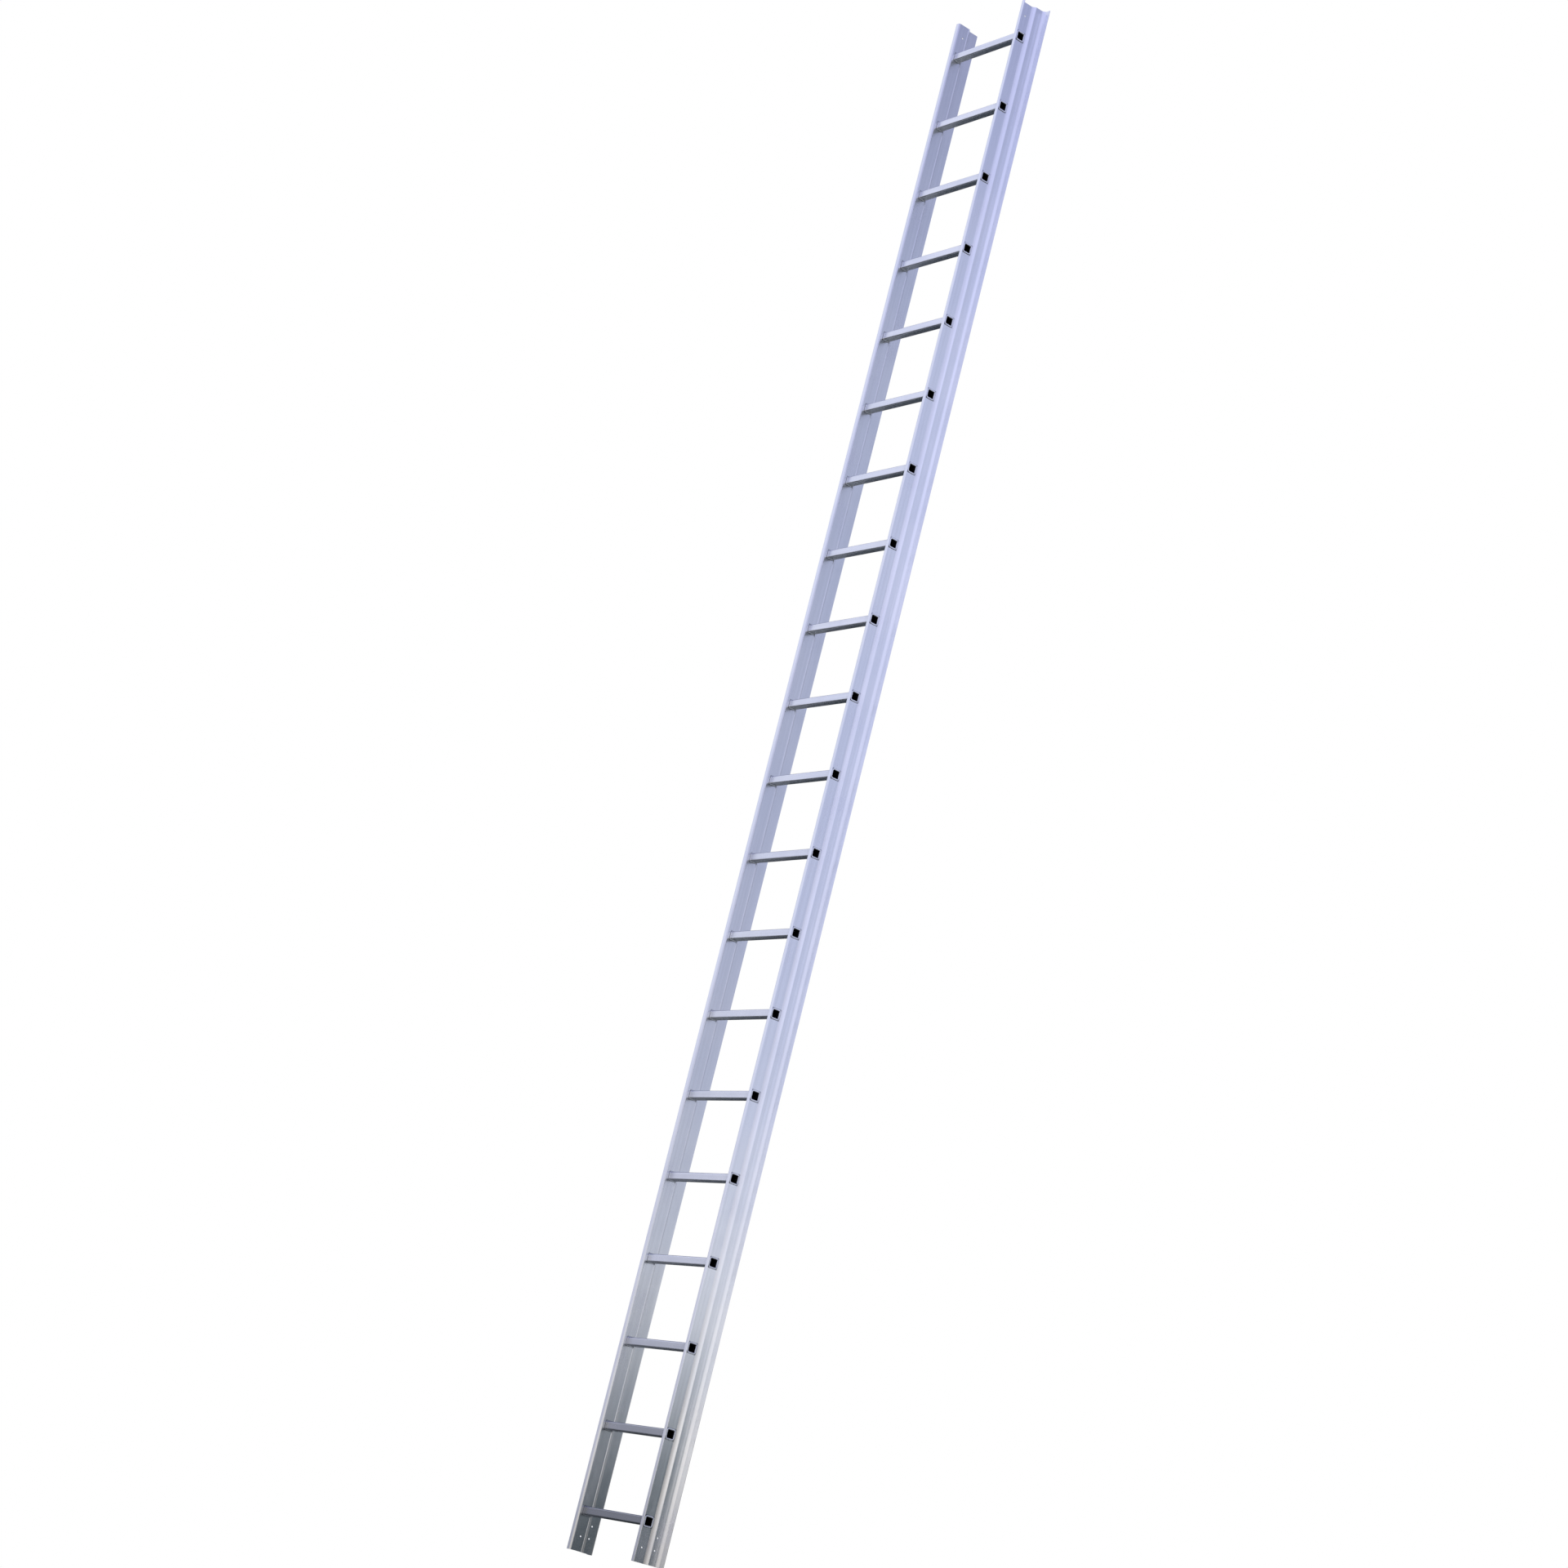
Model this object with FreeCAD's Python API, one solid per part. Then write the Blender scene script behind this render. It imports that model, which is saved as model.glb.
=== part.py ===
import FreeCAD, Part
import math
import os

# One straight section of an aluminium rung ladder, standing upright on its rail ends.
# +Z runs up the rails, +X points to the right rail, and -Y is the climbing side.
# The origin is the middle of the bounding box at the level of the rail ends.

# Ladder layout, in millimetres
RUNG_COUNT = 20
RUNG_PITCH = 280.0
END_OVERHANG = 130.0        # rail end to the centre line of the nearest rung
CLEAR_WIDTH = 340.0         # between the inner faces of the two front webs

# Rail section: front flange, front web, slanted step outwards, rear web, rear flange
RAIL_DEPTH = 103.0
WEB = 2.8
FLANGE = 3.0
FRONT_FLANGE_REACH = 18.0
REAR_FLANGE_REACH = 43.0
STEP_OUT = 12.0             # how far the rear web stands outside the front web
RIB_FRONT = 46.5            # front of the rib that edges the inner face
RIB_WIDTH = 2.4
RIB_HEIGHT = 1.6
INNER_CORNER_RADIUS = 7.0
REAR_CORNER_RADIUS = 7.0
TIP_RADIUS = 1.2
RIB_RADIUS = 0.7
BEND_RADIUS = 4.0
CREST_RADIUS = 5.0
FRONT_FILLET_RADIUS = 4.2
FOOT_FILLET_RADIUS = 2.5
REAR_FILLET_RADIUS = 16.0

# Rung tube and its swaged ends
RUNG_DEPTH_POSITION = 30.0  # front of the rail to the rung's centre line
RUNG_SIDE = 28.0
RUNG_CORNER_RADIUS = 5.0
RUNG_WALL = 1.7
COLLAR_SIDE = 31.0
COLLAR_THICKNESS = 2.4
FLARE_SIDE = 36.4
FLARE_THICKNESS = 2.8
SWAGE_EDGE_RADIUS = 0.9
MOUTH_SIDE = 27.4
MOUTH_DEPTH = 3.0
GROOVE_COUNT = 5
GROOVE_SPACING = 3.6
GROOVE_WIDTH = 1.2
GROOVE_DEPTH = 0.5
GROOVE_END_GAP = 4.0        # plain tube between a groove's end and the collar

# Fixing holes near the rail ends
FIXING_RADIUS = 2.6
FIXING_FROM_END = 48.0
FIXING_SPACING = 40.0
REAR_HOLE_DEPTH_POSITION = 73.0

RAIL_LENGTH = (RUNG_COUNT - 1) * RUNG_PITCH + 2 * END_OVERHANG
INNER_FACE = CLEAR_WIDTH / 2
RUNG_Y = RUNG_DEPTH_POSITION - RAIL_DEPTH / 2
REAR_HOLE_Y = REAR_HOLE_DEPTH_POSITION - RAIL_DEPTH / 2
EPS_LENGTH = 1.0            # how far a cutting tool runs past the metal


def rounded_wire(corners, place):
    """A closed wire through (a, b, radius) corners; place turns (a, b) into a vector."""
    edges = []
    starts = []
    ends = []
    arcs = []
    for index, (a, b, radius) in enumerate(corners):
        previous = corners[index - 1]
        following = corners[(index + 1) % len(corners)]
        back = FreeCAD.Vector(previous[0] - a, previous[1] - b, 0).normalize()
        ahead = FreeCAD.Vector(following[0] - a, following[1] - b, 0).normalize()
        half = back.getAngle(ahead) / 2
        reach = radius / math.tan(half)
        bisector = (back + ahead).normalize()
        inset = radius / math.sin(half) - radius
        point = FreeCAD.Vector(a, b, 0)
        starts.append(point + back * reach)
        ends.append(point + ahead * reach)
        arcs.append(point + bisector * inset)
    for index in range(len(corners)):
        start = place(starts[index])
        middle = place(arcs[index])
        end = place(ends[index])
        following = place(starts[(index + 1) % len(corners)])
        edges.append(Part.Arc(start, middle, end).toShape())
        if end.distanceToPoint(following) > 1e-6:
            edges.append(Part.LineSegment(end, following).toShape())
    return Part.Wire(edges)


def square_corners(side, radius):
    """The corners of a rounded square centred on the origin."""
    half = side / 2
    return [(-half, -half, radius), (half, -half, radius), (half, half, radius), (-half, half, radius)]


def square_wire(side, radius, x, z):
    """A rounded square across a rung at height z, in the plane at x."""
    return rounded_wire(
        square_corners(side, radius),
        lambda p: FreeCAD.Vector(x, RUNG_Y + p.x, z + p.y),
    )


def square_bar(side, radius, x_start, x_end, z):
    """A rounded square bar along X at height z."""
    face = Part.Face(square_wire(side, radius, x_start, z))
    return face.extrude(FreeCAD.Vector(x_end - x_start, 0, 0))


def cylinder_x(radius, x_start, x_end, y, z):
    """A round bar along X."""
    start = FreeCAD.Vector(x_start, y, z)
    return Part.makeCylinder(radius, x_end - x_start, start, FreeCAD.Vector(1, 0, 0))


def rail_corners():
    """The rail section as (outward, depth, radius): outward from the inner face, depth from the front."""
    rib_rear = RIB_FRONT + RIB_WIDTH
    inner_bend = rib_rear + RIB_HEIGHT + STEP_OUT
    slant_shift = WEB * math.sqrt(2)
    outer_foot = rib_rear + RIB_HEIGHT + WEB - slant_shift
    outer_crest = inner_bend + WEB - slant_shift
    rear_web_outside = STEP_OUT + WEB
    return [
        (0.0, 0.0, INNER_CORNER_RADIUS),
        (0.0, RIB_FRONT, RIB_RADIUS),
        (-RIB_HEIGHT, RIB_FRONT, RIB_RADIUS),
        (-RIB_HEIGHT, rib_rear, RIB_RADIUS),
        (STEP_OUT, inner_bend, BEND_RADIUS),
        (STEP_OUT, RAIL_DEPTH, REAR_CORNER_RADIUS),
        (REAR_FLANGE_REACH, RAIL_DEPTH, TIP_RADIUS),
        (REAR_FLANGE_REACH, RAIL_DEPTH - FLANGE, TIP_RADIUS),
        (rear_web_outside, RAIL_DEPTH - FLANGE, REAR_FILLET_RADIUS),
        (rear_web_outside, outer_crest, CREST_RADIUS),
        (WEB, outer_foot, FOOT_FILLET_RADIUS),
        (WEB, FLANGE, FRONT_FILLET_RADIUS),
        (FRONT_FLANGE_REACH, FLANGE, TIP_RADIUS),
        (FRONT_FLANGE_REACH, 0.0, TIP_RADIUS),
    ]


def rung_heights():
    """The height of every rung's centre line, from the bottom up."""
    return [END_OVERHANG + index * RUNG_PITCH for index in range(RUNG_COUNT)]


def make_rail(side):
    """One rail: side is 1 for the right rail and -1 for the left one."""
    wire = rounded_wire(
        rail_corners(),
        lambda p: FreeCAD.Vector(side * (INNER_FACE + p.x), p.y - RAIL_DEPTH / 2, 0),
    )
    rail = Part.Face(wire).extrude(FreeCAD.Vector(0, 0, RAIL_LENGTH))
    front_web = sorted([side * (INNER_FACE - EPS_LENGTH), side * (INNER_FACE + WEB + EPS_LENGTH)])
    rear_inside = INNER_FACE + STEP_OUT
    rear_web = sorted([side * (rear_inside - EPS_LENGTH), side * (rear_inside + WEB + EPS_LENGTH)])
    tools = [square_bar(RUNG_SIDE, RUNG_CORNER_RADIUS, *front_web, z) for z in rung_heights()]
    for z in (FIXING_FROM_END, RAIL_LENGTH - FIXING_FROM_END):
        tools.append(cylinder_x(FIXING_RADIUS, *front_web, RUNG_Y, z))
    for z in (FIXING_FROM_END, FIXING_FROM_END + FIXING_SPACING):
        tools.append(cylinder_x(FIXING_RADIUS, *rear_web, REAR_HOLE_Y, z))
    return rail.cut(tools)


def swage_plate(side_length, x_start, x_end, z):
    """A rounded plate round the tube, with its two outer edges softened."""
    grow = (side_length - RUNG_SIDE) / 2
    plate = square_bar(side_length, RUNG_CORNER_RADIUS + grow, x_start, x_end, z)
    rims = [edge for edge in plate.Edges if abs(edge.BoundBox.XLength) < 1e-6]
    return plate.makeFillet(SWAGE_EDGE_RADIUS, rims)


def make_rung(z):
    """One rung: a square tube clamped to both webs by an inner collar and an outer flare."""
    outside = INNER_FACE + WEB
    end = outside + FLARE_THICKNESS
    rung = square_bar(RUNG_SIDE, RUNG_CORNER_RADIUS, -end, end, z)
    plates = [
        swage_plate(FLARE_SIDE, outside, end, z),
        swage_plate(FLARE_SIDE, -end, -outside, z),
        swage_plate(COLLAR_SIDE, INNER_FACE - COLLAR_THICKNESS, INNER_FACE, z),
        swage_plate(COLLAR_SIDE, -INNER_FACE, COLLAR_THICKNESS - INNER_FACE, z),
    ]
    rung = rung.fuse(plates)
    bore_side = RUNG_SIDE - 2 * RUNG_WALL
    bore_radius = RUNG_CORNER_RADIUS - RUNG_WALL
    mouth_radius = bore_radius + (MOUTH_SIDE - bore_side) / 2
    tools = [square_bar(bore_side, bore_radius, -end - EPS_LENGTH, end + EPS_LENGTH, z)]
    for side in (-1, 1):
        narrow = square_wire(bore_side, bore_radius, side * (end - MOUTH_DEPTH), z)
        wide = square_wire(MOUTH_SIDE, mouth_radius, side * end, z)
        tools.append(Part.makeLoft([narrow, wide], True))
    groove_end = INNER_FACE - COLLAR_THICKNESS - GROOVE_END_GAP
    groove_height = GROOVE_DEPTH + EPS_LENGTH
    for index in range(GROOVE_COUNT):
        y = RUNG_Y + (index - (GROOVE_COUNT - 1) / 2) * GROOVE_SPACING - GROOVE_WIDTH / 2
        for bottom in (z + RUNG_SIDE / 2 - GROOVE_DEPTH, z - RUNG_SIDE / 2 - EPS_LENGTH):
            corner = FreeCAD.Vector(-groove_end, y, bottom)
            tools.append(Part.makeBox(2 * groove_end, GROOVE_WIDTH, groove_height, corner))
    return rung.cut(tools).removeSplitter()


def main():
    os.makedirs("parts", exist_ok=True)
    make_rail(1).exportStep("parts/right_rail.step")
    make_rail(-1).exportStep("parts/left_rail.step")
    first = make_rung(END_OVERHANG)
    for index in range(RUNG_COUNT):
        rung = first.copy()
        rung.translate(FreeCAD.Vector(0, 0, index * RUNG_PITCH))
        rung.exportStep(f"parts/rung_{index + 1:02d}.step")


main()
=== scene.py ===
import math

import bmesh
import bpy
from mathutils import Matrix, Vector


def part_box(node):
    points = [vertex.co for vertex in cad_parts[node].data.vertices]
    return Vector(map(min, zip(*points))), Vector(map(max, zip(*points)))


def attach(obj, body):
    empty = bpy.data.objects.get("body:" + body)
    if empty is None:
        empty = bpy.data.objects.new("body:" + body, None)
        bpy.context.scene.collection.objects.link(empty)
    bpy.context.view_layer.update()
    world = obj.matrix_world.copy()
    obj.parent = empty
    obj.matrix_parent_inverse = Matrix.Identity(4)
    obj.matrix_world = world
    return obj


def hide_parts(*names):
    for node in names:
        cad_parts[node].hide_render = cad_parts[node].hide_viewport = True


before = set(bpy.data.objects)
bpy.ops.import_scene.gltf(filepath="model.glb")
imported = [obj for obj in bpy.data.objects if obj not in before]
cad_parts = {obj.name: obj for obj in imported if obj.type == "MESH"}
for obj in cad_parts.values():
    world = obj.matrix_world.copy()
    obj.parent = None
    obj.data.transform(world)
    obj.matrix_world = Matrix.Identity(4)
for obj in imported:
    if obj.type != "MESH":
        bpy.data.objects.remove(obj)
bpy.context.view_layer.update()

# Every size below is in metres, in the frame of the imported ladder:
# +Z runs up the rails, +X points to the right rail, -Y is the climbing side.
MM = 0.001

# Layout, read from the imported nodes
RUNG_NODES = sorted(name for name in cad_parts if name.startswith("rung_"))
RAIL_LOW, RAIL_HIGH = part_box("right_rail")
RUNG_LOW, RUNG_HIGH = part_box(RUNG_NODES[0])
RAIL_LENGTH = RAIL_HIGH.z
RAIL_DEPTH = RAIL_HIGH.y - RAIL_LOW.y
RUNG_Y = (RUNG_LOW.y + RUNG_HIGH.y) / 2
RUNG_END = RUNG_HIGH.x
RUNG_HEIGHTS = [(low.z + high.z) / 2 for low, high in map(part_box, RUNG_NODES)]
RUNG_PITCH = (RUNG_HEIGHTS[-1] - RUNG_HEIGHTS[0]) / (len(RUNG_HEIGHTS) - 1)

# Rail section
WEB = 2.8 * MM
FLANGE = 3.0 * MM
FRONT_FLANGE_REACH = 18.0 * MM
REAR_FLANGE_REACH = 43.0 * MM
STEP_OUT = 12.0 * MM
RIB_FRONT = 46.5 * MM
RIB_WIDTH = 2.4 * MM
RIB_HEIGHT = 1.6 * MM
INNER_FACE = RAIL_LOW.x + RIB_HEIGHT
INNER_CORNER_RADIUS = 7.0 * MM
REAR_CORNER_RADIUS = 7.0 * MM
TIP_RADIUS = 1.2 * MM
RIB_RADIUS = 0.7 * MM
BEND_RADIUS = 4.0 * MM
CREST_RADIUS = 5.0 * MM
FRONT_FILLET_RADIUS = 4.2 * MM
FOOT_FILLET_RADIUS = 2.5 * MM
REAR_FILLET_RADIUS = 16.0 * MM
SAW_EDGE = 0.35 * MM        # the softened edge of a cut end

# Rung tube: every loop round it is a square with this flat on each side and rounded corners
RUNG_FLAT = 18.0 * MM
RUNG_SIDE = 28.0 * MM
RUNG_WALL = 1.7 * MM
COLLAR_SIDE = 31.0 * MM
COLLAR_THICKNESS = 2.4 * MM
FLARE_SIDE = RUNG_HIGH.y - RUNG_LOW.y
MOUTH_SIDE = 27.4 * MM
MOUTH_DEPTH = 3.0 * MM
SWAGE_EDGE_RADIUS = 0.9 * MM
GROOVE_COUNT = 5
GROOVE_SPACING = 3.6 * MM
GROOVE_WIDTH = 1.2 * MM
GROOVE_DEPTH = 0.5 * MM
GROOVE_SLOPE = 0.25 * MM    # width of a groove's side wall
GROOVE_END_GAP = 4.0 * MM
GROOVE_RUNOUT = 1.5 * MM

# Fixing holes near the rail ends
FIXING_RADIUS = 2.6 * MM
FIXING_CHAMFER = 0.4 * MM
FIXING_FROM_END = 48.0 * MM
FIXING_SPACING = 40.0 * MM
REAR_HOLE_Y = 73.0 * MM - RAIL_DEPTH / 2

ARC_STEP = math.radians(9)
CORNER_SEGMENTS = 8         # in each rounded corner of a rung loop
HOLE_QUARTER = 8            # points in a quarter of a hole's rim


# ---------------------------------------------------------------- mesh making

def rounded_outline(corners):
    """Points round a closed outline of (a, b, radius) corners, and each corner's last point's index."""
    points = []
    last_index = []
    for index, (a, b, radius) in enumerate(corners):
        here = Vector((a, b))
        back = (Vector(corners[index - 1][:2]) - here).normalized()
        ahead = (Vector(corners[(index + 1) % len(corners)][:2]) - here).normalized()
        half = back.angle(ahead) / 2
        centre = here + (back + ahead).normalized() * (radius / math.sin(half))
        start = here + back * (radius / math.tan(half)) - centre
        turn = math.pi - 2 * half
        if back.x * ahead.y - back.y * ahead.x > 0:
            turn = -turn
        segments = max(4, math.ceil(abs(turn) / ARC_STEP))
        for step in range(segments + 1):
            points.append(centre + Matrix.Rotation(turn * step / segments, 2) @ start)
        last_index.append(len(points) - 1)
    return points, last_index


def inset_outline(points, distance, turn):
    """The outline moved inwards; turn is 1 for an anticlockwise outline and -1 for a clockwise one."""
    moved = []
    for index, point in enumerate(points):
        along = (points[(index + 1) % len(points)] - points[index - 1]).normalized()
        moved.append(point + Vector((-along.y, along.x)) * distance * turn)
    return moved


def outline_turn(points):
    """1 for an anticlockwise outline and -1 for a clockwise one."""
    area = sum(points[i - 1].x * p.y - p.x * points[i - 1].y for i, p in enumerate(points))
    return 1 if area > 0 else -1


def make_mesh(name, points, faces):
    """A closed smooth mesh whose flat faces stay flat: the largest faces at a point set its normal."""
    mesh = bpy.data.meshes.new(name)
    mesh.from_pydata(points, [], faces)
    turned = bmesh.new()
    turned.from_mesh(mesh)
    bmesh.ops.recalc_face_normals(turned, faces=turned.faces)
    turned.to_mesh(mesh)
    turned.free()
    mesh.shade_smooth()
    normals = [Vector() for _ in mesh.vertices]
    for face in mesh.polygons:
        pull = face.normal * (face.area / MM ** 2) ** 3
        for vertex in face.vertices:
            normals[vertex] += pull
    mesh.normals_split_custom_set_from_vertices([n.normalized() for n in normals])
    return mesh


def add_piece(name, mesh, material, node):
    """A finished piece that stands for a CAD node and rides on the ladder's one body."""
    piece = bpy.data.objects.new(name, mesh)
    bpy.context.scene.collection.objects.link(piece)
    mesh.materials.append(material)
    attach(piece, "root")
    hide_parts(node)
    return piece


# ---------------------------------------------------------------------- rails

def rail_corners():
    """The rail section as (outward, depth, radius), from the inner face and from the front."""
    rib_rear = RIB_FRONT + RIB_WIDTH
    inner_bend = rib_rear + RIB_HEIGHT + STEP_OUT
    slant_shift = WEB * math.sqrt(2)
    outer_foot = rib_rear + RIB_HEIGHT + WEB - slant_shift
    outer_crest = inner_bend + WEB - slant_shift
    rear_outside = STEP_OUT + WEB
    return [
        (0.0, 0.0, INNER_CORNER_RADIUS),
        (0.0, RIB_FRONT, RIB_RADIUS),
        (-RIB_HEIGHT, RIB_FRONT, RIB_RADIUS),
        (-RIB_HEIGHT, rib_rear, RIB_RADIUS),
        (STEP_OUT, inner_bend, BEND_RADIUS),
        (STEP_OUT, RAIL_DEPTH, REAR_CORNER_RADIUS),
        (REAR_FLANGE_REACH, RAIL_DEPTH, TIP_RADIUS),
        (REAR_FLANGE_REACH, RAIL_DEPTH - FLANGE, TIP_RADIUS),
        (rear_outside, RAIL_DEPTH - FLANGE, REAR_FILLET_RADIUS),
        (rear_outside, outer_crest, CREST_RADIUS),
        (WEB, outer_foot, FOOT_FILLET_RADIUS),
        (WEB, FLANGE, FRONT_FILLET_RADIUS),
        (FRONT_FLANGE_REACH, FLANGE, TIP_RADIUS),
        (FRONT_FLANGE_REACH, 0.0, TIP_RADIUS),
    ]


# Which run of the outline carries each hole: (inner run's corner, outer run's corner)
FRONT_WEB = (0, 10)
REAR_WEB = (4, 8)


def round_rim(radius):
    """Points round a circle, starting along +depth, as (depth, height)."""
    count = 4 * HOLE_QUARTER
    turns = [2 * math.pi * index / count for index in range(count)]
    return [Vector((radius * math.cos(t), radius * math.sin(t))) for t in turns]


def square_rim(side):
    """Points round a rounded square, starting in the middle of its +depth side."""
    radius = side / 2 - RUNG_FLAT / 2
    arc_points = HOLE_QUARTER - 1
    rim = []
    for quarter in range(4):
        turn = Matrix.Rotation(quarter * math.pi / 2, 2)
        rim.append(turn @ Vector((side / 2, 0)))
        for step in range(arc_points):
            angle = math.pi / 2 * step / (arc_points - 1)
            corner = Vector((RUNG_FLAT / 2, RUNG_FLAT / 2))
            rim.append(turn @ (corner + Vector((math.cos(angle), math.sin(angle))) * radius))
    return rim


def rail_cells():
    """The stretches of rail that hold a hole: {(low, high): [(web, depth, height, rims)]}."""
    cells = {}
    rung_margin = 18.0 * MM
    fixing_margin = 8.0 * MM
    tube_rims = [(square_rim(RUNG_SIDE), 0.0)] * 2
    fixing_rims = [
        (round_rim(FIXING_RADIUS + FIXING_CHAMFER), 0.0),
        (round_rim(FIXING_RADIUS), FIXING_CHAMFER),
    ]
    front_depth = RUNG_Y + RAIL_DEPTH / 2
    rear_depth = REAR_HOLE_Y + RAIL_DEPTH / 2
    for z in RUNG_HEIGHTS:
        cells[(z - rung_margin, z + rung_margin)] = [(FRONT_WEB, front_depth, z, tube_rims)]
    foot, top = FIXING_FROM_END, RAIL_LENGTH - FIXING_FROM_END
    second = FIXING_FROM_END + FIXING_SPACING
    cells[(foot - fixing_margin, foot + fixing_margin)] = [
        (FRONT_WEB, front_depth, foot, fixing_rims),
        (REAR_WEB, rear_depth, foot, fixing_rims),
    ]
    cells[(second - fixing_margin, second + fixing_margin)] = [
        (REAR_WEB, rear_depth, second, fixing_rims),
    ]
    cells[(top - fixing_margin, top + fixing_margin)] = [
        (FRONT_WEB, front_depth, top, fixing_rims),
    ]
    return cells


def fill_round_hole(corners, rim):
    """Triangles between a four-cornered cell and the rim in it; corner q faces the rim's quarter q."""
    quarter = len(rim) // 4
    faces = []
    for q in range(4):
        for step in range(quarter):
            index = q * quarter + step
            faces.append((corners[q], rim[index], rim[(index + 1) % len(rim)]))
        faces.append((corners[q - 1], rim[q * quarter], corners[q]))
    return faces


def rail_mesh(name, side):
    """One rail: side is 1 for the right rail and -1 for the left one."""
    outline, last_index = rounded_outline(rail_corners())
    turn = outline_turn(outline)
    narrow = inset_outline(outline, SAW_EDGE, turn)
    cells = rail_cells()
    levels = sorted({0.0, SAW_EDGE, RAIL_LENGTH - SAW_EDGE, RAIL_LENGTH}.union(*cells))
    points = []
    faces = []

    def place(u, depth, z):
        points.append((side * (INNER_FACE + u), depth - RAIL_DEPTH / 2, z))
        return len(points) - 1

    rings = []
    for z in levels:
        ring = narrow if z in (0.0, RAIL_LENGTH) else outline
        rings.append([place(p.x, p.y, z) for p in ring])

    def cut_hole(runs, depth, height, rims, low, high):
        """Opens a hole through the web between its inner and outer flat runs."""
        walls = []
        for run, outside in zip(runs, (False, True)):
            first = last_index[run]
            second = first + 1
            face_u = outline[first].x
            into_metal = -1 if outside else 1
            rows = []
            for rim, sunk in rims:
                u = face_u + into_metal * sunk
                rows.append([place(u, depth + p.x, height + p.y) for p in rim])
            if outline[first].y > outline[second].y:
                first, second = second, first
            corners = [high[second], high[first], low[first], low[second]]
            faces.extend(fill_round_hole(corners, rows[0]))
            walls.append(rows)
        loops = walls[0] + walls[1][::-1]
        for near, far in zip(loops, loops[1:]):
            for index in range(len(near)):
                following = (index + 1) % len(near)
                faces.append((near[index], near[following], far[following], far[index]))

    count = len(outline)
    for low, high, z_low, z_high in zip(rings, rings[1:], levels, levels[1:]):
        holes = cells.get((z_low, z_high), [])
        open_runs = {last_index[run] for runs, *_ in holes for run in runs}
        for index in range(count):
            if index not in open_runs:
                following = (index + 1) % count
                faces.append((low[index], low[following], high[following], high[index]))
        for runs, depth, height, rims in holes:
            cut_hole(runs, depth, height, rims, low, high)
    faces.append(tuple(rings[0]))
    faces.append(tuple(reversed(rings[-1])))
    return make_mesh(name, points, faces)


# ---------------------------------------------------------------------- rungs

def tread_run(groove_depth):
    """The flat top of a rung loop as (offset along the flat, sink), with its grooves."""
    run = []
    for index in range(GROOVE_COUNT):
        centre = (index - (GROOVE_COUNT - 1) / 2) * GROOVE_SPACING
        half = GROOVE_WIDTH / 2
        for offset, sink in (
            (-half, 0.0),
            (GROOVE_SLOPE - half, groove_depth),
            (half - GROOVE_SLOPE, groove_depth),
            (half, 0.0),
        ):
            run.append((centre + offset, sink))
    return run


def rung_loop(reach, groove_depth):
    """Points round the tube as (y, z) from its centre line; reach is the centre to each flat."""
    radius = reach - RUNG_FLAT / 2
    loop = []
    for quarter in range(4):
        turn = Matrix.Rotation(quarter * math.pi / 2, 2)
        if quarter % 2:
            for offset, sink in tread_run(groove_depth):
                loop.append(turn @ Vector((reach - sink, offset)))
        corner = Vector((RUNG_FLAT / 2, RUNG_FLAT / 2))
        for step in range(CORNER_SEGMENTS + 1):
            angle = math.pi / 2 * step / CORNER_SEGMENTS
            loop.append(turn @ (corner + Vector((math.cos(angle), math.sin(angle))) * radius))
    return loop


def arc_stations(x, reach, radius, start, end, count=4):
    """Stations round a quarter arc in the (x, reach) plane, between two angles in degrees."""
    found = []
    for step in range(count + 1):
        angle = math.radians(start + (end - start) * step / count)
        found.append((x + radius * math.cos(angle), reach + radius * math.sin(angle), 0.0))
    return found


def rung_stations():
    """The right half of a rung as (x, reach, groove depth), from outside its middle to inside it."""
    tube = RUNG_SIDE / 2
    bore = tube - RUNG_WALL
    web_outside = INNER_FACE + WEB
    collar_face = INNER_FACE - COLLAR_THICKNESS
    groove_end = collar_face - GROOVE_END_GAP
    edge = SWAGE_EDGE_RADIUS
    weld = 0.8 * MM         # the small fillet where the tube swells into its collar
    lip = (FLARE_SIDE - MOUTH_SIDE) / 4
    stations = [
        (0.0, tube, GROOVE_DEPTH),
        (groove_end - GROOVE_RUNOUT, tube, GROOVE_DEPTH),
        (groove_end, tube, 0.0),
    ]
    stations += arc_stations(collar_face - weld, tube + weld, weld, -90, 0, 3)
    stations += arc_stations(collar_face + edge, COLLAR_SIDE / 2 - edge, edge, 180, 90)
    stations += [
        (INNER_FACE, COLLAR_SIDE / 2, 0.0),
        (INNER_FACE, tube, 0.0),
        (web_outside, tube, 0.0),
        (web_outside, FLARE_SIDE / 2, 0.0),
    ]
    stations += arc_stations(RUNG_END - edge, FLARE_SIDE / 2 - edge, edge, 90, 0)
    stations += [(RUNG_END, FLARE_SIDE / 2 - lip, 0.0)]
    stations += arc_stations(RUNG_END - edge, MOUTH_SIDE / 2 + edge, edge, 0, -90)
    stations += [
        (RUNG_END - MOUTH_DEPTH * 0.6, (MOUTH_SIDE / 2 + bore) / 2, 0.0),
        (RUNG_END - MOUTH_DEPTH, bore + 0.2 * MM, 0.0),
        (RUNG_END - MOUTH_DEPTH * 1.4, bore, 0.0),
        (0.0, bore, 0.0),
    ]
    return stations


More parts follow.
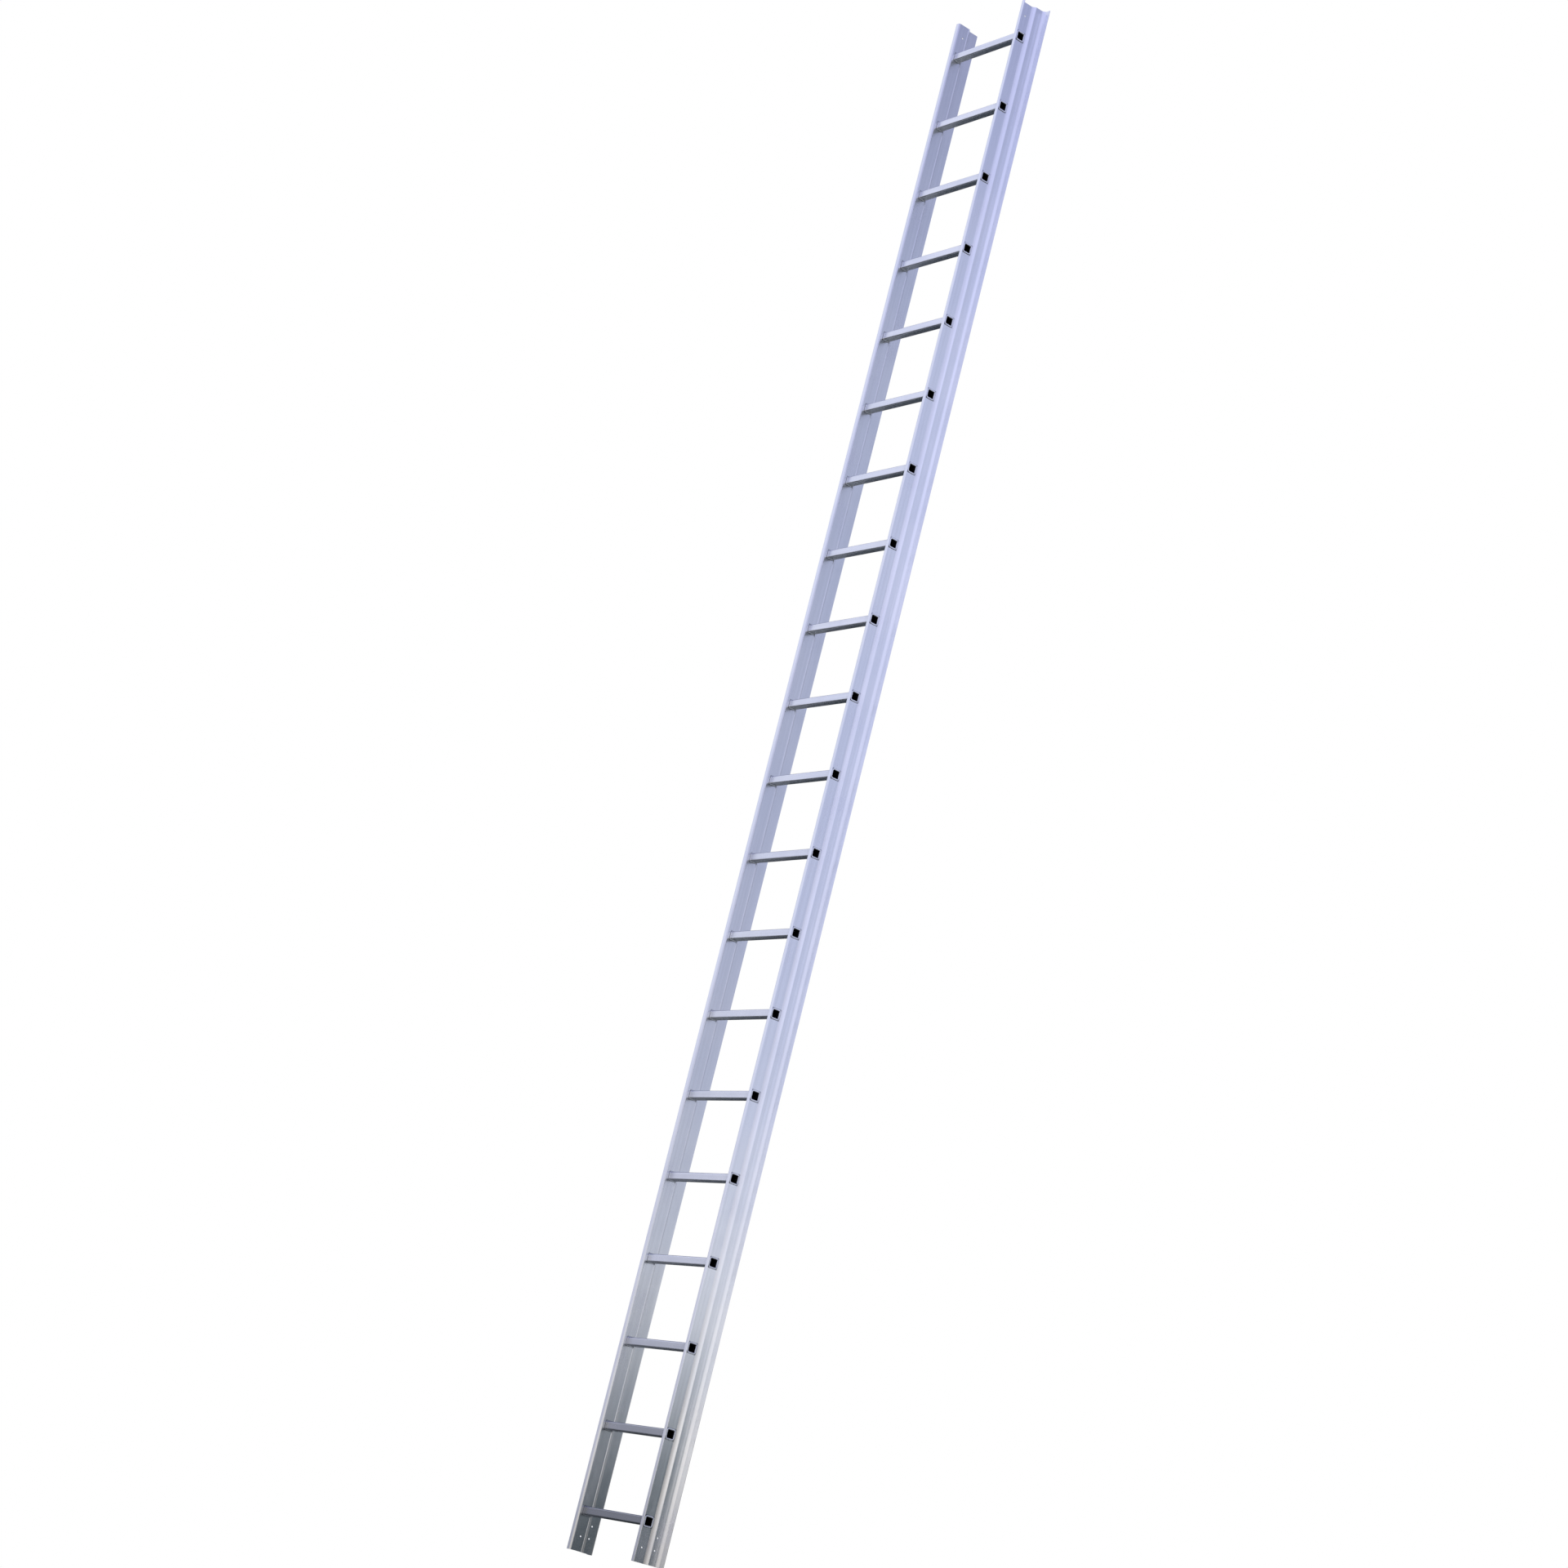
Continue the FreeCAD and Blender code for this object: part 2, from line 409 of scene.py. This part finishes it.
def rung_mesh(name, height):
    """One rung as a closed tube of loops: out along the outside, and back through the bore."""
    right = rung_stations()
    left = [(-x, reach, groove) for x, reach, groove in reversed(right[1:-1])]
    stations = right + left
    points = []
    rings = []
    for x, reach, groove in stations:
        ring = []
        for y, z in rung_loop(reach, groove):
            ring.append(len(points))
            points.append((x, RUNG_Y + y, height + z))
        rings.append(ring)
    faces = []
    for index, near in enumerate(rings):
        far = rings[(index + 1) % len(rings)]
        for corner in range(len(near)):
            following = (corner + 1) % len(near)
            faces.append((near[corner], near[following], far[following], far[corner]))
    return make_mesh(name, points, faces)


# ------------------------------------------------------------------ materials

RAIL_METAL = {
    "dull": (0.90, 0.92, 0.95),
    "bright": (0.95, 0.96, 0.97),
    "smudge": (0.87, 0.88, 0.95),
    "roughness": (0.22, 0.28),
    "anisotropy": 0.96,
}
RUNG_METAL = {
    "dull": (0.88, 0.90, 0.93),
    "bright": (0.95, 0.96, 0.97),
    "smudge": (0.85, 0.87, 0.92),
    "roughness": (0.26, 0.32),
    "anisotropy": 0.5,
}

# Painted light by place: the tones that the metal's colour is multiplied by where shade is painted, and
# on the rails' inside faces, which are simply darker
INSIDE_TONE = 0.83          # the rail faces that look at the other rail
JOINT_SHADE_TONE = 0.42           # painted shade in a ring round a rung end
FOOT_SHADE_TONE = 0.86            # painted shade on the bottom half metre of the rails, for the dark ground reflected there
STEP_FOOT_SHADE_TONE = 0.56       # painted shade in the corner where the rail steps out, near the foot
STEP_TOP_SHADE_TONE = 0.90        # and further up
ROOT_SHADE_TONE = 0.88            # painted shade on a rung beside the rail
# painted shade on the lowest rungs, for the dark ground reflected there
LOWEST_RUNG_SHADE_TONE = 0.42
# painted highlight on the rolled rim of a rung end
RIM_HIGHLIGHT_COLOUR = (0.99, 0.99, 1.0, 1.0)
# painted shade inside a rung's bore
BORE_SHADE_COLOUR = (0.07, 0.075, 0.085, 1.0)
JOINT_SHADE_EDGES = (19.2 * MM, 22.8 * MM)    # from a rung's centre line to the painted shade's near and far edge


class Graph:
    """A short way to write a node tree."""

    def __init__(self, tree):
        self.tree = tree
        tree.nodes.clear()

    def node(self, kind, inputs=None, **settings):
        made = self.tree.nodes.new(kind)
        for key, value in settings.items():
            setattr(made, key, value)
        for key, value in (inputs or {}).items():
            self.plug(made.inputs[key], value)
        return made

    def plug(self, socket, value):
        if isinstance(value, bpy.types.NodeSocket):
            self.tree.links.new(value, socket)
        else:
            socket.default_value = value

    def math(self, operation, first, second=0.0, third=0.0):
        made = self.node("ShaderNodeMath", operation=operation)
        for socket, value in zip(made.inputs, (first, second, third)):
            self.plug(socket, value)
        return made.outputs[0]

    def smooth(self, value, low, high, to_low=0.0, to_high=1.0):
        """value eased from low to high into to_low to to_high."""
        made = self.node(
            "ShaderNodeMapRange",
            {0: value, 1: low, 2: high, 3: to_low, 4: to_high},
            interpolation_type="SMOOTHSTEP",
        )
        return made.outputs[0]

    def mix(self, factor, first, second, blend="MIX"):
        made = self.node("ShaderNodeMix", data_type="RGBA", blend_type=blend)
        self.plug(made.inputs[0], factor)
        self.plug(made.inputs[6], first)
        self.plug(made.inputs[7], second)
        return made.outputs[2]

    def scale(self, colour, factor):
        """colour times a plain number."""
        grey = self.node("ShaderNodeCombineColor", {0: factor, 1: factor, 2: factor}).outputs[0]
        return self.mix(1.0, colour, grey, "MULTIPLY")

    def noise(self, vector, scale, detail=3.0, roughness=0.5):
        inputs = {"Vector": vector, "Scale": scale, "Detail": detail, "Roughness": roughness}
        return self.node("ShaderNodeTexNoise", inputs).outputs["Fac"]

    def stretch(self, vector, scale):
        return self.node("ShaderNodeMapping", {"Vector": vector, "Scale": scale}).outputs[0]

    def ramp(self, value, stops):
        made = self.node("ShaderNodeValToRGB", {0: value})
        elements = made.color_ramp.elements
        while len(elements) < len(stops):
            elements.new(1.0)
        for element, (position, colour) in zip(elements, stops):
            element.position = position
            element.color = (*colour, 1.0)
        return made.outputs[0]


def rung_reach(graph, place):
    """How far a point stands from the nearest rung's centre line, as the larger of depth and height."""
    across = graph.math("ABSOLUTE", graph.math("SUBTRACT", place[1], RUNG_Y))
    start = RUNG_HEIGHTS[0] - RUNG_PITCH / 2
    within = graph.math("FLOORED_MODULO", graph.math("SUBTRACT", place[2], start), RUNG_PITCH)
    above = graph.math("ABSOLUTE", graph.math("SUBTRACT", within, RUNG_PITCH / 2))
    return graph.math("SMOOTH_MAX", across, above, 1.5 * MM)


def drawn_aluminium(name, along, metal, shade_and_tone):
    """Mill-finish aluminium drawn through a die along an axis; a given function paints shade,
    highlights and tone on it by place.
    """
    material = bpy.data.materials.new(name)
    material.use_nodes = True
    graph = Graph(material.node_tree)
    coordinate = graph.node("ShaderNodeTexCoord").outputs["Object"]
    place = graph.node("ShaderNodeSeparateXYZ", {0: coordinate}).outputs

    def lines(across, length, detail=2.0):
        scale = [across] * 3
        scale["XYZ".index(along)] = length
        return graph.noise(graph.stretch(coordinate, tuple(scale)), 1.0, detail, 0.6)

    fine_lines = lines(across=900.0, length=3.0)
    wide_lines = lines(across=110.0, length=0.7)
    clouds = graph.noise(coordinate, 2.6, 3.0, 0.55)
    smudges = graph.noise(graph.stretch(coordinate, (9.0, 9.0, 5.0)), 1.0, 5.0, 0.62)
    specks = graph.noise(coordinate, 420.0, 2.0, 0.5)

    dull, bright, smudge = metal["dull"], metal["bright"], metal["smudge"]
    base = graph.mix(graph.smooth(clouds, 0.36, 0.66), (*dull, 1.0), (*bright, 1.0))
    base = graph.mix(graph.smooth(smudges, 0.50, 0.78, 0.0, 0.45), base, (*smudge, 1.0))
    base = graph.scale(base, graph.smooth(wide_lines, 0.30, 0.70, 0.965, 1.025))
    roughness = graph.math("ADD", graph.smooth(smudges, 0.35, 0.75, *metal["roughness"]),
                           graph.smooth(fine_lines, 0.3, 0.7, -0.015, 0.015))
    base, roughness = shade_and_tone(graph, place, smudges, base, roughness)
    relief = graph.math("ADD", fine_lines, graph.math("MULTIPLY", specks, 0.12))
    bump = graph.node("ShaderNodeBump", {"Strength": 0.16, "Distance": 0.04 * MM, "Height": relief})
    tangent = graph.node("ShaderNodeTangent", direction_type="RADIAL", axis=along)
    shader = graph.node("ShaderNodeBsdfPrincipled", {
        "Base Color": base,
        "Metallic": 1.0,
        "Roughness": roughness,
        "Anisotropic": metal["anisotropy"],
        "Normal": bump.outputs[0],
        "Tangent": tangent.outputs[0],
    })
    graph.node("ShaderNodeOutputMaterial", {"Surface": shader.outputs[0]})
    return material


def rail_tone_and_shade(graph, place, smudges, base, roughness):
    """Darker faces inside, and painted shade round the rung joints, at the foot and in the step's
    corner.
    """
    normal = graph.node("ShaderNodeTexCoord").outputs["Normal"]
    sideways = graph.node("ShaderNodeSeparateXYZ", {0: normal}).outputs[0]
    outward = graph.math("MULTIPLY", sideways, graph.math("SIGN", place[0]))
    base = graph.scale(base, graph.smooth(outward, -0.75, -0.15, INSIDE_TONE, 1.0))

    # Inside the rails the painted shade starts at the collar, which is smaller than the flare outside
    # them
    collar_gap = (FLARE_SIDE - COLLAR_SIDE) / 2
    reach = graph.math("ADD", rung_reach(graph, place), graph.math("MULTIPLY", smudges, 3.0 * MM))
    reach = graph.math("ADD", reach, graph.smooth(outward, -0.5, 0.5, collar_gap, 0.0))
    base = graph.scale(base, graph.smooth(reach, *JOINT_SHADE_EDGES, JOINT_SHADE_TONE, 1.0))

    height = graph.math("ADD", place[2], graph.math("MULTIPLY", smudges, 0.3))
    # Painted shade towards the foot, for the dark ground reflected there
    base = graph.scale(base, graph.smooth(height, 0.12, 0.50, FOOT_SHADE_TONE, 1.0))

    # Painted shade in the corner at the bottom of the outer slope, which fades out towards the slope's
    # crest
    slope_start = RIB_FRONT + RIB_WIDTH - RAIL_DEPTH / 2
    on_slope = graph.math(
        "MULTIPLY",
        graph.smooth(place[1], slope_start - 1.0 * MM, slope_start + 1.0 * MM),
        graph.smooth(outward, 0.2, 0.5),
    )
    from_inner_face = graph.math("SUBTRACT", graph.math("ABSOLUTE", place[0]), INNER_FACE)
    corner_shade_tone = graph.smooth(height, 0.4, 1.2, STEP_FOOT_SHADE_TONE, STEP_TOP_SHADE_TONE)
    slope_tone = graph.smooth(from_inner_face, WEB + 1.0 * MM, STEP_OUT, corner_shade_tone, 1.0)
    shade = graph.math("MULTIPLY", on_slope, graph.math("SUBTRACT", 1.0, slope_tone))
    base = graph.scale(base, graph.math("SUBTRACT", 1.0, shade))
    return base, roughness


def rung_shade_and_highlight(graph, place, smudges, base, roughness):
    """Painted shade in the bore and where the tube meets the rails, a painted highlight on the rolled
    rim, and painted shade on the lowest rungs.
    """
    from_middle = graph.math("ABSOLUTE", place[0])
    root = graph.math("ADD", from_middle, graph.math("MULTIPLY", smudges, 0.04))
    # Painted shade on the rung where it meets the rail
    base = graph.scale(base, graph.smooth(root, 0.150, 0.195, 1.0, ROOT_SHADE_TONE))
    # Painted shade on the lowest rungs, for the dark ground reflected there
    base = graph.scale(base, graph.smooth(place[2], 0.10, 1.00, LOWEST_RUNG_SHADE_TONE, 1.0))
    # Painted highlight on the rolled rim
    on_rim = graph.smooth(from_middle, RUNG_END - 1.0 * MM, RUNG_END - 0.2 * MM)
    base = graph.mix(on_rim, base, RIM_HIGHLIGHT_COLOUR)
    # Painted shade inside the bore
    in_bore = graph.smooth(rung_reach(graph, place), 13.6 * MM, 12.6 * MM)
    base = graph.mix(in_bore, base, BORE_SHADE_COLOUR)
    roughness = graph.math("ADD", roughness, graph.math("MULTIPLY", in_bore, 0.35))
    return base, roughness


# ------------------------------------------------------------ studio and view

SKY_LOW = -30.0             # degrees of elevation at the two ends of the sky's colour ramps
SKY_HIGH = 60.0
HEADING_X = 0.82            # the level heading that the shaded parts of the ground are laid out by
HEADING_Y = 0.57
GROUND_COLOUR = (0.44, 0.46, 0.52, 1.0)

CAMERA_PLACE = (9.408, -6.659, -0.503)
CAMERA_YAW = math.radians(55.093)
CAMERA_PITCH = math.radians(15.141)
CAMERA_ROLL = math.radians(-14.260)
CAMERA_LENS = 81.13


def build_world():
    """A soft sky over a pale ground for the metal to reflect; the camera itself sees plain white."""
    world = bpy.data.worlds.new("studio")
    bpy.context.scene.world = world
    world.use_nodes = True
    graph = Graph(world.node_tree)
    direction = graph.node("ShaderNodeTexCoord").outputs["Generated"]
    split = graph.node("ShaderNodeSeparateXYZ", {0: direction}).outputs
    elevation = graph.math("MULTIPLY", graph.math("ARCSINE", split[2]), 180 / math.pi)
    level = graph.math("DIVIDE", graph.math("SUBTRACT", elevation, SKY_LOW), SKY_HIGH - SKY_LOW)

    def stop(degrees, colour):
        return ((degrees - SKY_LOW) / (SKY_HIGH - SKY_LOW), colour)

    behind = graph.ramp(level, [
        stop(-30, (0.028, 0.038, 0.050)),
        stop(1, (0.026, 0.042, 0.050)),
        stop(4.6, (0.045, 0.075, 0.090)),
        stop(6.3, (0.82, 0.84, 0.90)),
        stop(8.3, (0.62, 0.66, 0.80)),
        stop(12, (0.50, 0.54, 0.74)),
        stop(23, (0.51, 0.555, 0.76)),
        stop(29, (0.32, 0.345, 0.57)),
        stop(50, (0.40, 0.43, 0.68)),
    ])
    ahead = graph.ramp(level, [
        stop(-30, (0.028, 0.038, 0.050)),
        stop(-8, (0.050, 0.062, 0.076)),
        stop(-1, (0.58, 0.54, 0.49)),
        stop(3, (0.90, 0.84, 0.78)),
        stop(6, (0.89, 0.90, 0.94)),
        stop(10, (0.74, 0.76, 0.97)),
        stop(23, (0.70, 0.73, 1.02)),
        stop(30, (0.60, 0.62, 0.98)),
        stop(50, (0.62, 0.64, 0.98)),
    ])
    left = graph.ramp(level, [
        stop(-30, (0.022, 0.032, 0.042)),
        stop(-4, (0.055, 0.060, 0.070)),
        stop(1, (0.29, 0.30, 0.36)),
        stop(6, (0.62, 0.63, 0.76)),
        stop(12, (0.72, 0.75, 0.92)),
        stop(50, (0.72, 0.75, 0.98)),
    ])
    front_share = graph.smooth(split[1], 0.22, -0.38)
    back_share = graph.smooth(split[1], 0.72, 0.95, 0.0, 0.5)
    left_share = graph.smooth(split[0], 0.10, -0.45)
    light = graph.mix(graph.math("MAXIMUM", front_share, back_share), behind, ahead)
    light = graph.mix(left_share, light, left)

    # The ground lies in shade beyond the left rail, which keeps the rungs' undersides dark, and
    # partly so behind the right rail
    east = graph.math("MULTIPLY", split[0], HEADING_X)
    north = graph.math("MULTIPLY", split[1], HEADING_Y)
    beyond = graph.math(
        "MULTIPLY",
        graph.smooth(graph.math("SUBTRACT", north, east), 0.15, 0.50),
        graph.smooth(split[0], -0.05, -0.35),
    )
    aside = graph.smooth(graph.math("ADD", north, east), 0.50, 0.85, 0.0, 0.7)
    unshaded = graph.math("SUBTRACT", 1.0, graph.math("MAXIMUM", beyond, aside))
    ground_share = graph.math("MULTIPLY", graph.smooth(elevation, -7, -18), unshaded)
    light = graph.mix(ground_share, light, GROUND_COLOUR)
    lit = graph.node("ShaderNodeBackground", {"Color": light, "Strength": 1.0}).outputs[0]
    white = graph.node("ShaderNodeBackground", {"Color": (1, 1, 1, 1), "Strength": 1.0}).outputs[0]
    seen = graph.node("ShaderNodeLightPath").outputs["Is Camera Ray"]
    shown = graph.node("ShaderNodeMixShader", {0: seen, 1: lit, 2: white}).outputs[0]
    graph.node("ShaderNodeOutputWorld", {"Surface": shown})


def build_floor():
    """A plain pale floor, seen from above only."""
    reach = 60.0
    mesh = bpy.data.meshes.new("floor")
    corners = [(-reach, -reach, 0), (reach, -reach, 0), (reach, reach, 0), (-reach, reach, 0)]
    mesh.from_pydata(corners, [], [(0, 1, 2, 3)])
    floor = bpy.data.objects.new("floor", mesh)
    bpy.context.scene.collection.objects.link(floor)
    material = bpy.data.materials.new("pale_floor")
    material.use_nodes = True
    graph = Graph(material.node_tree)
    grey = graph.node("ShaderNodeBsdfDiffuse", {"Color": (0.5, 0.5, 0.5, 1)}).outputs[0]
    glow = graph.node("ShaderNodeEmission", {"Color": (1, 1, 1, 1), "Strength": 0.66}).outputs[0]
    pale = graph.node("ShaderNodeAddShader", {0: grey, 1: glow}).outputs[0]
    clear = graph.node("ShaderNodeBsdfTransparent").outputs[0]
    below = graph.node("ShaderNodeNewGeometry").outputs["Backfacing"]
    seen = graph.node("ShaderNodeLightPath").outputs["Is Camera Ray"]
    show = graph.math("MULTIPLY", seen, graph.math("SUBTRACT", 1.0, below))
    surface = graph.node("ShaderNodeMixShader", {0: show, 1: clear, 2: pale}).outputs[0]
    graph.node("ShaderNodeOutputMaterial", {"Surface": surface})
    mesh.materials.append(material)


def build_camera():
    """A long lens low down in front of the right rail, looking up and tilted to the left."""
    data = bpy.data.cameras.new("camera")
    data.sensor_width = 36.0
    data.lens = CAMERA_LENS
    data.clip_end = 200.0
    camera = bpy.data.objects.new("camera", data)
    bpy.context.scene.collection.objects.link(camera)
    level_ahead = Vector((-math.sin(CAMERA_YAW), math.cos(CAMERA_YAW), 0.0))
    ahead = level_ahead * math.cos(CAMERA_PITCH) + Vector((0.0, 0.0, math.sin(CAMERA_PITCH)))
    level_right = Vector((math.cos(CAMERA_YAW), math.sin(CAMERA_YAW), 0.0))
    level_down = ahead.cross(level_right)
    right = level_right * math.cos(CAMERA_ROLL) + level_down * math.sin(CAMERA_ROLL)
    down = level_down * math.cos(CAMERA_ROLL) - level_right * math.sin(CAMERA_ROLL)
    turn = Matrix((right, -down, -ahead)).transposed()
    camera.matrix_world = Matrix.Translation(CAMERA_PLACE) @ turn.to_4x4()
    bpy.context.scene.camera = camera


def main():
    bpy.context.scene.view_settings.view_transform = "Standard"
    build_camera()
    build_world()
    build_floor()
    rail_metal = drawn_aluminium("rail_aluminium", "Z", RAIL_METAL, rail_tone_and_shade)
    rung_metal = drawn_aluminium("rung_aluminium", "X", RUNG_METAL, rung_shade_and_highlight)
    for node, side in (("right_rail", 1), ("left_rail", -1)):
        mesh = rail_mesh(node + "_extrusion", side)
        add_piece(node + "_extrusion", mesh, rail_metal, node)
    for node, height in zip(RUNG_NODES, RUNG_HEIGHTS):
        name = node.replace("rung", "rung_tube")
        add_piece(name, rung_mesh(name, height), rung_metal, node)


main()
